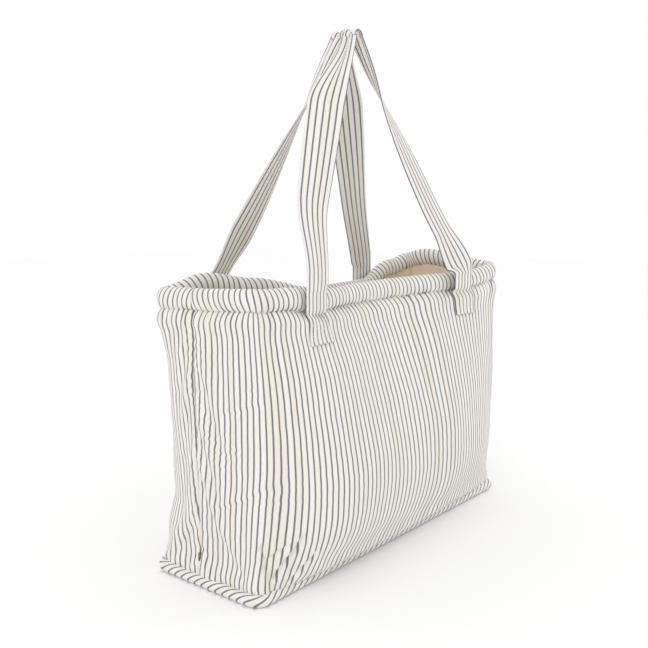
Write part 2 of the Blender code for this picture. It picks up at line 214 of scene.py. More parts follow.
def swell(along, height_share):
    """The belly of a long side: 0 at foot and rim, 1 at its fullest."""
    peak = math.log(0.5) / math.log(BELLY_PEAK)
    profile = np.clip(np.sin(math.pi * height_share**peak), 0, None) ** 0.9
    return profile * (1 - np.abs(along) ** 4.5) * (1 - BELLY_LEAN * along)


def rim_pull(side, x, height_share):
    """How far the rim is drawn towards the middle of the bag at x."""
    depth, half = RIM_PULL[side]
    near = np.clip(1 - (x / half) ** 2, 0, None)
    return depth * near**2 * height_share**2.5


def slump(points, height_share):
    """How far the wall stands along X from its even shape: out at the right, in at the back left."""
    x, y = points[..., 0], points[..., 1]
    right = smooth((x - 0.18) / 0.10) * smooth(height_share / 0.12)
    back_left = smooth((-x - 0.15) / 0.12) * smooth((y - LEFT_SEAM_Y) / 0.07)
    halfway = smooth((height_share - 0.12) / 0.15) * smooth((1 - height_share) / 0.25)
    return RIGHT_FLARE * right + BACK_WAIST * back_left * halfway


def outline(half_length, half_depth, radius, left_y, right_y, share):
    """Front half of a round-cornered rectangle at share, -1 at the left seam to 1 at the right one.

    Gives x, y, the outward normal's x and y, and the distance along the cloth from the middle.
    """
    flat = half_length - radius
    side = half_depth - radius
    turn = 0.5 * math.pi * radius
    reach = flat + turn + side + np.where(share < 0, left_y, right_y)
    along = np.abs(share) * reach
    angle = np.clip((along - flat) / radius, 0, 0.5 * math.pi)
    past = np.clip(along - flat - turn, 0, None)
    hand = np.where(share < 0, -1.0, 1.0)
    x = hand * (np.minimum(along, flat) + radius * np.sin(angle))
    y = -side - radius * np.cos(angle) + past
    eased = CORNER_EASE * smooth((along - flat - 0.5 * turn) / EASE_WIDTH + 0.5)
    return x, y, hand * np.sin(angle), -np.cos(angle), hand * (along + eased)


def wall_surface(side, inset, height_share, share):
    """Points of one half of the wall, the outline's normals, and the cloth coordinate u.

    height_share gives the rows, 0 at the foot and 1 at the rim, and share gives the columns.
    """
    t, f = np.meshgrid(height_share, share, indexing="ij")
    mirror = -OUT[side]
    left_y = mirror * (LEFT_SEAM_Y + LEFT_SEAM_SLANT * (1 - t))
    foot = (LENGTH / 2 - FOOT_INSET, DEPTH / 2 - FOOT_INSET)
    half_length = foot[0] * (1 - t) + TOP_HALF_LENGTH * t - inset
    half_depth = foot[1] * (1 - t) + TOP_HALF_DEPTH * t - inset
    radius = FOOT_CORNER + (TOP_CORNER - FOOT_CORNER) * np.sqrt(t) - inset
    x, y, nx, ny, u = outline(half_length, half_depth, radius, left_y, 0.0, f)
    *_, foot_u = outline(foot[0], foot[1], FOOT_CORNER, mirror * LEFT_SEAM_Y, 0.0, f)
    first, last = foot_u[0, 0], foot_u[0, -1]
    round_bag = 0.5 * (foot_u - first) / (last - first)
    if side == "back":
        round_bag = 1.0 - round_bag
    across = np.minimum(1.0, -y / half_depth)
    out = BELLY * swell(x / half_length, t) - rim_pull(side, x, t)
    end = END_SWELL * np.sin(math.pi * t) * (1 - across**2)
    top = HEIGHT - 2 * ROLL_HALF_TALL + rim_lift(round_bag)
    z = WALL_FOOT + (top - WALL_FOOT) * t
    points = np.stack([x + np.copysign(end, x), mirror * (y - out * across), z], axis=-1)
    points[..., 0] += slump(points, t)
    normals = np.stack([nx, mirror * ny, 0 * nx], axis=-1)
    return points, normals, u


def grid_normals(points, outward):
    """Unit normals of a grid of points, turned to the same side as outward."""
    down = np.gradient(points, axis=0)
    along = np.gradient(points, axis=1)
    normals = np.cross(along, down)
    normals /= np.linalg.norm(normals, axis=-1, keepdims=True) + 1e-12
    facing = np.sign((normals * outward).sum(-1).mean())
    return normals * facing


def noise_at(places, seed):
    """Smooth noise from -1 to 1 at each row of places."""
    shift = Vector((seed * 3.7, seed * 1.9, seed * 5.3))
    flat = places.reshape(-1, 3)
    values = [noise.noise(Vector(p) + shift) for p in flat]
    return np.array(values).reshape(places.shape[:-1])


def ripples(along, wavelength, seed):
    """Uneven gathers along a seam, mostly within -1 and 1."""
    drift = noise_at(np.stack([along / 0.045, 0 * along, 0 * along], axis=-1), seed)
    strength = noise_at(np.stack([along / 0.03, 0 * along + 4, 0 * along], axis=-1), seed + 1)
    return np.sin(2 * math.pi * along / wavelength + 5.0 * drift) * (0.65 + 0.7 * strength)


# ---------------------------------------------------------------- simulated fall of the padded walls


def grid_quads(index):
    """The quads between neighbouring points of a grid, from the grid of their numbers."""
    corners = [index[:-1, :-1], index[:-1, 1:], index[1:, 1:], index[1:, :-1]]
    return np.stack(corners, axis=-1).reshape(-1, 4)


def cloth_mesh(points):
    rows, columns = points.shape[:2]
    quads = grid_quads(np.arange(rows * columns).reshape(rows, columns))
    mesh = bpy.data.meshes.new("wall_cloth")
    mesh.from_pydata(points.reshape(-1, 3).tolist(), [], quads.tolist())
    return mesh


def pin_edges(item, rows, columns):
    """The cloth is held along its rim, foot and side seams."""
    held = item.vertex_groups.new(name="held")
    index = np.arange(rows * columns).reshape(rows, columns)
    edges = [index[0], index[-1], index[:, 0], index[:, -1]]
    held.add(np.concatenate(edges).tolist(), 1.0, "REPLACE")
    return held.name


def add_cloth(item):
    """Soft padded cloth with a little spare length, which shrink_min gives as a negative share."""
    cloth = item.modifiers.new("fall", "CLOTH")
    settings = cloth.settings
    settings.vertex_group_mass = pin_edges(item, CLOTH_ROWS, CLOTH_COLUMNS)
    settings.quality = 6
    settings.mass = 0.4
    settings.tension_stiffness = 12
    settings.compression_stiffness = 12
    settings.shear_stiffness = 6
    settings.bending_stiffness = 0.6
    settings.shrink_min = -0.022
    settings.use_pressure = False
    settings.effector_weights.gravity = 0.35
    cloth.point_cache.frame_end = FALL_FRAMES


def simulated_fall(side):
    """Offsets of the wall's cloth from its smooth shape, as it settles with a little spare cloth."""
    share = np.linspace(-1, 1, CLOTH_COLUMNS)
    height_share = np.linspace(0, 1, CLOTH_ROWS)
    points, outward, _ = wall_surface(side, 0.0, height_share, share)
    item = bpy.data.objects.new("wall_cloth", cloth_mesh(points))
    bpy.context.scene.collection.objects.link(item)
    add_cloth(item)
    scene = bpy.context.scene
    for number in range(1, FALL_FRAMES + 1):
        scene.frame_set(number)
    shape = item.evaluated_get(bpy.context.evaluated_depsgraph_get()).to_mesh()
    settled = np.empty(len(shape.vertices) * 3)
    shape.vertices.foreach_get("co", settled)
    bpy.data.objects.remove(item)
    scene.frame_set(1)
    moved = settled.reshape(points.shape) - points
    size = np.linalg.norm(moved, axis=-1, keepdims=True)
    moved *= FALL_MOST * np.tanh(size / FALL_MOST) / (size + 1e-9)
    normals = grid_normals(points, outward)
    inwards = np.clip(-(moved * normals).sum(-1, keepdims=True), 0, None)
    return moved + normals * (inwards - SINK_MOST * np.tanh(inwards / SINK_MOST))


def refine(coarse, rows, columns):
    """A coarse grid of offsets, read smoothly at a finer grid."""
    return cubic(coarse.shape[0], rows) @ coarse.transpose(2, 0, 1) @ cubic(coarse.shape[1], columns).T


def cubic(count, wanted):
    """Catmull-Rom weights that read wanted values from count evenly spaced ones."""
    place = np.linspace(0, count - 1, wanted)
    first = np.clip(place.astype(int), 0, count - 2)
    x = place - first
    weights = (
        (-1, -0.5 * x + x**2 - 0.5 * x**3),
        (0, 1 - 2.5 * x**2 + 1.5 * x**3),
        (1, 0.5 * x + 2 * x**2 - 1.5 * x**3),
        (2, -0.5 * x**2 + 0.5 * x**3),
    )
    matrix = np.zeros((wanted, count))
    for step, weight in weights:
        np.add.at(matrix, (np.arange(wanted), np.clip(first + step, 0, count - 1)), weight)
    return matrix


# ---------------------------------------------------------------- meshes


def add_piece(name, mesh, material, body=None):
    item = bpy.data.objects.new(name, mesh)
    bpy.context.scene.collection.objects.link(item)
    mesh.materials.append(material)
    mesh.shade_smooth()
    if body:
        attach(item, body)
    return item


def mesh_from(name, vertices, faces, cloth=None):
    """A mesh with its cloth coordinates, given per vertex, in a UV map."""
    mesh = bpy.data.meshes.new(name)
    mesh.from_pydata(np.asarray(vertices).tolist(), [], [tuple(face) for face in faces])
    if cloth is not None:
        layer = mesh.uv_layers.new(name="cloth")
        loops = np.empty(len(mesh.loops), dtype=int)
        mesh.loops.foreach_get("vertex_index", loops)
        layer.data.foreach_set("uv", np.asarray(cloth)[loops].astype(np.float32).ravel())
    return mesh


def slab(name, outer, inner, cloth):
    """A closed mesh between two open grids of the same size, with the cloth coordinates of outer."""
    rows, columns = outer.shape[:2]
    count = rows * columns
    index = np.arange(count).reshape(rows, columns)
    quads = grid_quads(index)
    rim = np.concatenate([index[0], index[1:, -1], index[-1, -2::-1], index[-2:0:-1, 0]])
    ahead = np.roll(rim, -1)
    edge = np.stack([rim, rim + count, ahead + count, ahead], axis=-1)
    faces = np.concatenate([quads, quads[:, ::-1] + count, edge])
    vertices = np.concatenate([outer.reshape(-1, 3), inner.reshape(-1, 3)])
    if enclosed(vertices, faces) < 0:
        faces = faces[:, ::-1]
    flat = cloth.reshape(-1, 2)
    return mesh_from(name, vertices, faces, np.concatenate([flat, flat]))


def enclosed(vertices, faces):
    """The signed volume inside a closed mesh of quads."""
    a, b, c, d = (vertices[faces[:, k]] for k in range(4))
    first = (np.cross(a, b) * c).sum()
    second = (np.cross(a, c) * d).sum()
    return (first + second) / 6


def tube(name, rings, cloth, closed):
    """A mesh tube through rings of points; an open one has its ends capped."""
    count, sides = rings.shape[:2]
    index = np.arange(count * sides).reshape(count, sides)
    index = np.concatenate([index, index[:, :1]], axis=1)
    if closed:
        index = np.concatenate([index, index[:1]], axis=0)
    quads = grid_quads(index)
    vertices = rings.reshape(-1, 3)
    flip = enclosed(vertices, quads) < 0
    faces = [tuple(q[::-1]) if flip else tuple(q) for q in quads.tolist()]
    if not closed:
        ends = [tuple(index[0, :-1][::-1]), tuple(index[-1, :-1])]
        faces += [end[::-1] for end in ends] if flip else ends
    layer = np.stack(cloth, axis=-1)  # (count + 1 or count, sides + 1, 2)
    mesh = mesh_from(name, vertices, faces)
    uv = mesh.uv_layers.new(name="cloth")
    corners = layer_corners(layer, flip)
    caps = np.zeros((len(mesh.loops) - len(corners), 2))
    uv.data.foreach_set("uv", np.concatenate([corners, caps]).astype(np.float32).ravel())
    return mesh


def layer_corners(layer, flip):
    """Cloth coordinates of each corner of a tube's quads, in face order."""
    corners = [layer[:-1, :-1], layer[:-1, 1:], layer[1:, 1:], layer[1:, :-1]]
    if flip:
        corners = corners[::-1]
    return np.stack(corners, axis=2).reshape(-1, 2)


# ---------------------------------------------------------------- materials


class Nodes:
    """A short way to build a node material."""

    def __init__(self, name):
        self.material = bpy.data.materials.new(name)
        self.material.use_nodes = True
        self.tree = self.material.node_tree
        self.shader = self.tree.nodes["Principled BSDF"]

    def add(self, kind, inputs=(), **settings):
        node = self.tree.nodes.new(kind)
        for key, value in settings.items():
            setattr(node, key, value)
        for key, value in dict(inputs).items():
            self.feed(node.inputs[key], value)
        return node

    def feed(self, socket, value):
        if isinstance(value, bpy.types.NodeSocket):
            self.tree.links.new(value, socket)
        else:
            socket.default_value = value

    def maths(self, operation, *values):
        return self.add("ShaderNodeMath", enumerate(values), operation=operation).outputs[0]

    def blend(self, factor, first, second, kind="MIX"):
        node = self.add("ShaderNodeMix", data_type="RGBA", blend_type=kind)
        sockets = {s.identifier: s for s in node.inputs}
        self.feed(sockets["Factor_Float"], factor)
        self.feed(sockets["A_Color"], first)
        self.feed(sockets["B_Color"], second)
        return next(s for s in node.outputs if s.identifier == "Result_Color")

    def noise(self, vector, scale, detail=2.0):
        inputs = {"Vector": vector, "Scale": scale, "Detail": detail}
        return self.add("ShaderNodeTexNoise", inputs).outputs["Fac"]


def ramp(n, value, low, high):
    """0 where value is under low, 1 over high."""
    inputs = {"Value": value, "From Min": low, "From Max": high}
    return n.add("ShaderNodeMapRange", inputs, interpolation_type="SMOOTHSTEP").outputs["Result"]


def cloth_finish(n, colour, height, bump_size, roughness=0.88, sheen=0.25):
    """Sets a matt cloth's colour, weave bump and sheen."""
    bump = n.add("ShaderNodeBump", {"Height": height, "Distance": bump_size, "Strength": 0.6})
    n.feed(n.shader.inputs["Base Color"], colour)
    n.feed(n.shader.inputs["Normal"], bump.outputs["Normal"])
    n.shader.inputs["Roughness"].default_value = roughness
    n.shader.inputs["Specular IOR Level"].default_value = 0.25
    n.shader.inputs["Sheen Weight"].default_value = sheen
    n.shader.inputs["Sheen Roughness"].default_value = 0.5
    return n.material


def weave(n, u, v):
    """A plain weave's height from its warp and weft, 0 to 1."""
    turn = 2 * math.pi / THREAD_PITCH
    warp = n.maths("SINE", n.maths("MULTIPLY", u, turn))
    weft = n.maths("SINE", n.maths("MULTIPLY", v, turn))
    crossed = n.maths("MULTIPLY", warp, weft)
    return n.maths("MULTIPLY_ADD", crossed, 0.5, 0.5)


def cloth_coordinates(n):
    """The cloth coordinates, as a vector socket and as one socket each for u and v."""
    cloth = n.add("ShaderNodeUVMap", uv_map="cloth").outputs["UV"]
    split = n.add("ShaderNodeSeparateXYZ", {"Vector": cloth})
    return cloth, split.outputs["X"], split.outputs["Y"]


def striped_cotton(name):
    """Off-white plain weave with fine woven slate lines along v."""
    ground, warm, line = (0.86, 0.835, 0.785), (0.84, 0.775, 0.69), (0.135, 0.147, 0.17)
    n = Nodes(name)
    _, u, v = cloth_coordinates(n)
    place = n.add("ShaderNodeCombineXYZ", {"X": u, "Y": v}).outputs["Vector"]
    wobble = n.maths("MULTIPLY", n.maths("SUBTRACT", n.noise(place, 90.0), 0.5), 0.0005)
    number = n.maths("DIVIDE", n.maths("ADD", u, wobble), STRIPE_PITCH)
    centred = n.maths("FRACT", n.maths("ADD", number, 0.5))
    off_line = n.maths("ABSOLUTE", n.maths("SUBTRACT", centred, 0.5))
    half = 0.5 * STRIPE_WIDTH / STRIPE_PITCH
    line_share = n.maths("SUBTRACT", 1.0, ramp(n, off_line, half * 0.75, half * 1.25))
    gap_number = n.maths("FLOOR", number)
    chance = n.add("ShaderNodeTexWhiteNoise", {"W": gap_number}, noise_dimensions="1D").outputs["Value"]
    tint = n.maths("MULTIPLY", ramp(n, chance, 0.45, 0.9), 0.75)
    mottle = n.noise(place, 220.0, 4.0)
    base = n.blend(tint, (*ground, 1), (*warm, 1))
    grey = n.maths("MULTIPLY_ADD", mottle, 0.10, 0.95)
    shade = n.add("ShaderNodeCombineXYZ", {"X": grey, "Y": grey, "Z": grey}).outputs["Vector"]
    base = n.blend(1.0, base, shade, "MULTIPLY")
    threads = n.maths("FRACT", n.maths("DIVIDE", v, 2 * THREAD_PITCH))
    over = ramp(n, n.maths("ABSOLUTE", n.maths("SUBTRACT", threads, 0.5)), 0.05, 0.45)
    strength = n.maths("MULTIPLY_ADD", over, 0.06, 0.90)
    strength = n.maths("MULTIPLY", strength, n.maths("MULTIPLY_ADD", mottle, 0.16, 0.92))
    colour = n.blend(n.maths("MULTIPLY", line_share, strength), base, (*line, 1))
    return cloth_finish(n, colour, weave(n, u, v), WEAVE_HEIGHT)


def plain_cotton(name, colour):
    """Plain woven cotton with a soft mottle."""
    n = Nodes(name)
    cloth, u, v = cloth_coordinates(n)
    mottle = n.noise(cloth, 60.0, 4.0)
    darker = tuple(c * 0.88 for c in colour)
    shade = n.blend(ramp(n, mottle, 0.3, 0.7), (*darker, 1), (*colour, 1))
    return cloth_finish(n, shade, weave(n, u, v), WEAVE_HEIGHT)


def thread_material():
    n = Nodes("sewing_thread")
    place = n.add("ShaderNodeTexCoord").outputs["Object"]
    twist = n.add("ShaderNodeTexWave", {"Vector": place, "Scale": 900.0, "Distortion": 1.5})
    colour = n.blend(twist.outputs["Fac"], (0.78, 0.73, 0.63, 1), (0.86, 0.82, 0.73, 1))
    return cloth_finish(n, colour, twist.outputs["Fac"], 0.0001, roughness=0.7, sheen=0.1)


def label_material():
    n = Nodes("label_leather")
    place = n.add("ShaderNodeTexCoord").outputs["Object"]
    grain = n.add("ShaderNodeTexVoronoi", {"Vector": place, "Scale": 1800.0})
    patina = n.noise(place, 260.0, 3.0)
    colour = n.blend(ramp(n, patina, 0.35, 0.65), (0.17, 0.075, 0.025, 1), (0.46, 0.25, 0.10, 1))
    return cloth_finish(n, colour, grain.outputs["Distance"], 0.0001, roughness=0.55, sheen=0.0)


# ---------------------------------------------------------------- walls


def wall_relief(points, u, height_share, seam_room):
    """How far the padded cloth stands out from the smooth wall: gathers, seams and dents."""
    z = points[..., 2]
    drop = (1 - height_share)[:, None] * (z.max(axis=0) - WALL_FOOT)
    rise = z - WALL_FOOT
    relief = 0.0011 * ripples(u, 0.0105, 3) * np.exp(-drop / 0.011)
    relief += 0.0008 * ripples(u, 0.013, 7) * np.exp(-rise / 0.012)
    relief += HEM_PUFF * hump(drop, 0.015, 0.010)
    relief -= RIM_SEAM_DEPTH * np.exp(-drop / 0.0040)
    relief += HEM_PUFF * hump(rise, 0.012, 0.010)
    relief += 0.0007 * ripples(z, 0.013, 11) * np.exp(-seam_room / 0.012)
    relief -= SIDE_SEAM_DEPTH * np.exp(-seam_room / 0.003)
    small = np.stack([u / 0.030, 0 * u, z / 0.011], axis=-1)
    broad = np.stack([u / 0.085, 0 * u + 9, z / 0.060], axis=-1)
    near_ends = smooth((np.abs(u) - 0.10) / 0.16)
    relief += (0.0004 + 0.0003 * near_ends) * noise_at(small, 17) + BROAD_DENTS * noise_at(broad, 23)
    return relief


def end_crinkles(points, u):
    """Small level creases across the stripes, strongest near the corners and half way up."""
    z = points[..., 2]
    fine = noise_at(np.stack([u / 0.022, 0 * u, z / 0.0050], axis=-1), 61)
    patches = noise_at(np.stack([u / 0.060, 0 * u, z / 0.070], axis=-1), 67)
    near = smooth((np.abs(u) - 0.19) / 0.10)
    strength = 0.10 + near * (0.25 + 0.65 * hump(z, 0.21, 0.09))
    return CRINKLE_HEIGHT * fine * smooth(1.6 * patches + 0.2) * strength


def folds(points, u):
    """The creases pressed into the front half of the wall, and how far they drag its stripes."""
    relief = 0 * u
    drag = 0 * u
    for (from_u, from_z), (to_u, to_z), depth, shift in FOLDS:
        along = np.array([to_u - from_u, to_z - from_z])
        length = np.hypot(*along)
        along /= length
        across_u, across_z = u - from_u, points[..., 2] - from_z
        share = (across_u * along[0] + across_z * along[1]) / length
        off = across_z * along[0] - across_u * along[1]
        fade = smooth(share / 0.25 + 0.5) * smooth((1 - share) / 0.25 + 0.5)
        banks, groove = 0.6 * hump(off, 0, 0.009), 1.6 * hump(off, 0, 0.0026)
        relief += fade * depth * (banks - groove)
        drag += fade * shift * hump(off, 0, 0.012) * np.tanh(off / 0.004)
    return relief, drag


def stripe_drag(side, u, height_share, drop, rise):
    """How far the stripes leave their even places: gathered at corners, swept at the foot."""
    gathered = BELLY_EASE * smooth((np.abs(u) - 0.20) / 0.08) * np.sin(math.pi * height_share)[:, None]
    drag = np.copysign(gathered, u) - SEAM_SHIFT * np.exp(-drop / 0.010)
    drag += OUT[side] * END_SWEEP * smooth((-u - 0.29) / 0.06) * np.exp(-rise / 0.035)
    if side == "front":
        on_front = 1 - smooth((np.abs(u) - 0.22) / 0.06)
        drag += FRONT_SWEEP * on_front * np.exp(-rise / 0.030)
        w = np.clip((u - SPREAD_FROM) / SPREAD_REACH, 0, 1)
        drag -= STRIPE_SPREAD * SPREAD_REACH * (w**3 - 0.5 * w**4)
    return drag


def wall_grids(side):
    """The outer and inner face of one half of the padded wall, and its cloth coordinates."""
    share = np.linspace(-1, 1, WALL_COLUMNS)
    height_share = np.linspace(0, 1, WALL_ROWS)
    smooth_wall, outward, u = wall_surface(side, 0.0, height_share, share)
    inner, _, _ = wall_surface(side, WALL - LINING - GAP, height_share, share)
    seam_room = np.minimum(u - u[:, :1], u[:, -1:] - u)
    fall = refine(simulated_fall(side), WALL_ROWS, WALL_COLUMNS).transpose(1, 2, 0)
    normals = grid_normals(smooth_wall, outward)
    crinkle = end_crinkles(smooth_wall, u)
    folded, jog = folds(smooth_wall, u) if side == "front" else (0.0, 0.0)
    relief = wall_relief(smooth_wall, u, height_share, seam_room)
    relief += CRINKLE_STAND * crinkle + folded
    rise = smooth_wall[..., 2] - WALL_FOOT
    on_end = smooth((np.abs(u) - CORNER_U + 0.025) / 0.03)
    relief += END_OVERHANG * on_end * hump(rise, 0, 0.022)
    outer = smooth_wall + fall + normals * relief[..., None]
    outer[..., 2] -= (FOOT_SAG + END_SAG * on_end) * np.exp(-rise / 0.008)
    drop = (1 - height_share)[:, None] * smooth_wall[-1:, :, 2]
    stripes = u + stripe_drag(side, u, height_share, drop, rise) + CRINKLE_DRAG * crinkle + jog
    step = np.linalg.norm(np.diff(smooth_wall, axis=0, prepend=smooth_wall[:1]), axis=-1)
    return outer, inner, np.stack([stripes, np.cumsum(step, axis=0)], axis=-1)


def add_walls(material):
    walls = {}
    for side in ("front", "back"):
        outer, inner, cloth = wall_grids(side)
        name = f"{side}_quilted_panel"
        item = add_piece(name, slab(name, outer, inner, cloth), material, "bag")
        seam = "left" if side == "front" else "right"
        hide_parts(f"{side}_panel", f"{side}_wadding", f"{seam}_seam_allowance")
        walls[side] = outer
    return walls


def add_linings(material):
    share = np.linspace(-1, 1, LINING_COLUMNS)
    height_share = np.linspace(0, 1, LINING_ROWS)
    for side in ("front", "back"):
        outer, outward, u = wall_surface(side, WALL - LINING, height_share, share)
        inner, _, _ = wall_surface(side, WALL, height_share, share)
        crease = noise_at(np.stack([u / 0.05, 0 * u, outer[..., 2] / 0.022], axis=-1), 31)
        gather = ripples(u, 0.016, 37) * height_share[:, None] ** 12
        lift = (0.0012 * (crease - 1.0) + 0.0008 * (gather - 1.0))[..., None]
        edges = np.minimum(u - u[:, :1], u[:, -1:] - u)
        lift = lift * smooth(edges / 0.02)[..., None]
        shift = outward * lift
        cloth = np.stack([u, outer[..., 2]], axis=-1)
        name = f"{side}_inner_lining"
        mesh = slab(name, outer + shift, inner + shift, cloth)
        item = add_piece(name, mesh, material, "bag")
        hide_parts(f"{side}_lining")


# ---------------------------------------------------------------- rim roll and base


def add_rim(material):
    share = np.linspace(-1, 1, ROLL_COLUMNS)
    angle = np.linspace(0, 2 * math.pi, ROLL_SIDES + 1)
    for side in ("front", "back"):
        points, outward, u = wall_surface(side, ROLL_INSET, np.array([0.0, 1.0]), share)
        centre = points[1] + np.array([0.0, 0.0, ROLL_HALF_TALL - ROLL_SINK])
        outward, u = outward[1], u[1]
        along = np.gradient(centre, axis=0)
        along /= np.linalg.norm(along, axis=1, keepdims=True)
        up = np.cross(along, outward)
        up *= np.sign(up[:, 2:3])
        a, s = np.meshgrid(angle[:-1], u)
        low = hump(np.sin(a), -1, 0.55)
        fat = 1 + 0.035 * noise_at(np.stack([s / 0.035, np.cos(a), np.sin(a)], axis=-1), 41)
        fat += 0.07 * ripples(s, 0.0105, 3) * low
        across = (ROLL_HALF_THICK * fat * np.cos(a))[..., None]
        upwards = (ROLL_HALF_TALL * fat * np.sin(a))[..., None]
        rings = centre[:, None] + outward[:, None] * across + up[:, None] * upwards
        slant = ROLL_SLANT * np.sin(angle)[None, :] * np.ones((len(u), 1))
        cloth_u = u[:, None] + slant + 0.0009 * ripples(u, 0.05, 43)[:, None] * np.cos(angle)
        cloth_v = ROLL_MEAN_RADIUS * angle[None, :] + 0 * u[:, None]
        name = f"{side}_rim_roll"
        mesh = tube(name, rings, (cloth_u, cloth_v), False)
        item = add_piece(name, mesh, material, "bag")
        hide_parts(f"{side}_rim_cover", f"{side}_rim_filler")


def loop_outline(half_length, half_depth, radius, count):
    """Points, normals and distances round a whole outline, counter-clockwise from the left."""
    share = np.linspace(-1, 1, count // 2 + 1)
    x, y, nx, ny, _ = outline(half_length, half_depth, radius, 0.0, 0.0, share)
    points = np.stack([x, y], axis=-1)
    normals = np.stack([nx, ny], axis=-1)
    mirror = np.array([1.0, -1.0])
    points = np.concatenate([points, points[-2:0:-1] * mirror])
    normals = np.concatenate([normals, normals[-2:0:-1] * mirror])
    steps = np.linalg.norm(np.diff(points, axis=0, append=points[:1]), axis=1)
    return points, normals, np.concatenate([[0.0], np.cumsum(steps)])


def add_piping(material):
    """The fat piping round the base, its stripes on the bias."""
    half = (LENGTH / 2 - PIPING_RADIUS, DEPTH / 2 - PIPING_RADIUS)
    corner = FOOT_CORNER + FOOT_INSET - PIPING_RADIUS
    points, normals, distance = loop_outline(*half, corner, PIPING_STEPS)
    angle = np.linspace(0, 2 * math.pi, PIPING_SIDES + 1)
    a, s = np.meshgrid(angle[:-1], distance[:-1])
    place = np.stack([s / 0.03, np.cos(a), np.sin(a)], axis=-1)
    fat = 1 + 0.03 * noise_at(place, 47) - 0.03 * (1 + ripples(s, 0.012, 53)) * hump(a, 2.2, 1)
    radius = PIPING_RADIUS * fat
    flat_z = np.maximum(PIPING_RADIUS + radius * np.sin(a), 0.0)
    across = normals[:, None] * (radius * np.cos(a))[..., None]
    rings = np.concatenate([points[:, None] + across, flat_z[..., None]], axis=-1)
    around = PIPING_RADIUS * (angle + 1 - np.cos(angle))[None, :]
    whole = distance[-1] * math.sqrt(0.5)
    stretch = round(whole / STRIPE_PITCH) * STRIPE_PITCH / whole
    cloth_u = (distance[:, None] * stretch - around) * math.sqrt(0.5)
    cloth_v = (distance[:, None] + around) * math.sqrt(0.5)
    name = "base_piping"
    item = add_piece(name, tube(name, rings, (cloth_u, cloth_v), True), material, "bag")
    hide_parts("base_piping_cover", "base_piping_cord")


def plate_grid(half_length, half_depth, rows, columns, corner):
    """A grid that fills a round-cornered rectangle."""
    x, y = np.meshgrid(np.linspace(-1, 1, columns), np.linspace(-1, 1, rows))
    past = np.clip(np.abs(x) * half_length - (half_length - corner), 0, corner)
    narrow = corner - np.sqrt(np.clip(corner**2 - past**2, 0, None))
    return x * half_length, y * (half_depth - narrow)


def add_base(striped, lining):
    inset = 2 * PIPING_RADIUS + GAP
    corner = FOOT_CORNER + FOOT_INSET - inset
    x, y = plate_grid(LENGTH / 2 - inset, DEPTH / 2 - inset, BASE_ROWS, BASE_COLUMNS, corner)
    edge = np.minimum(1 - np.abs(x) / x.max(), 1 - np.abs(y) / y.max())
    dimple = 0.0006 * (1 + noise_at(np.stack([x / 0.05, y / 0.05, 0 * x], axis=-1), 59))
    under = np.stack([x, y, 0.0008 * (1 - smooth(edge / 0.06))], axis=-1)
    over = np.stack([x, y, BASE_TOP - dimple], axis=-1)
    cloth = np.stack([x, y], axis=-1)
    mesh = slab("base", under, over, cloth)
    item = add_piece("base_quilted_panel", mesh, striped, "bag")
    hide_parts("base_panel", "base_wadding")
    low = over + np.array([0.0, 0.0, GAP])
    high = low + np.array([0.0, 0.0, LINING])
    mesh = slab("lining", low, high, cloth)
    item = add_piece("base_inner_lining", mesh, lining, "bag")
    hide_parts("base_lining")


# ---------------------------------------------------------------- straps


def wall_face(wall, x, z):
    """The y of the padded wall's outer face on a long side at each x and z."""
    middle = wall[:, WALL_COLUMNS // 6 : -(WALL_COLUMNS // 6)]
    rows = []
    for px in x:
        nearest = np.abs(middle[..., 0] - px).argmin(axis=1)
        line = middle[np.arange(len(middle)), nearest]
        rows.append(np.interp(z, line[:, 2], line[:, 1]))
    return np.array(rows).T


def patch_foot(side, foot_x):
    """Height of the lower edge of a sewn patch."""
    columns = 400
    share = np.linspace(-1, 1, columns)
    points, _, _ = wall_surface(side, 0.0, np.array([0.0, 1.0]), share)
    top = points[1]
    middle = slice(columns // 5, -(columns // 5))  # the long side without the corners
    return float(np.interp(foot_x, top[middle, 0], top[middle, 2])) - PATCH_DROP


def sewn_rows(side, wall, foot_x, across):
    """Rows of the middle surface of a sewn end, foot to just under the hinge."""
    out = OUT[side]
    low = patch_foot(side, foot_x)
    z = np.linspace(low, STRAP_FOOT_Z - 0.002, SEWN_ROWS)
    x = foot_x + across * STRAP_WIDTH
    face = wall_face(wall, x, z) + out * (GAP + STRAP_THICK / 2)
    leave = smooth((z - low - PATCH_TALL) / PATCH_RISE)[:, None]
    y = face * (1 - leave) + out * STRAP_FOOT_Y * leave
    leg = int(foot_x > APEX_X)
    width = 1 - FOOT_PINCH[side][leg] * smooth((z - low) / PATCH_DROP)[:, None]
    middle = foot_x + FOOT_SLIP[side][leg] * leave
    return np.stack([middle + (x - foot_x) * width, y, np.broadcast_to(z[:, None], y.shape)], axis=-1)


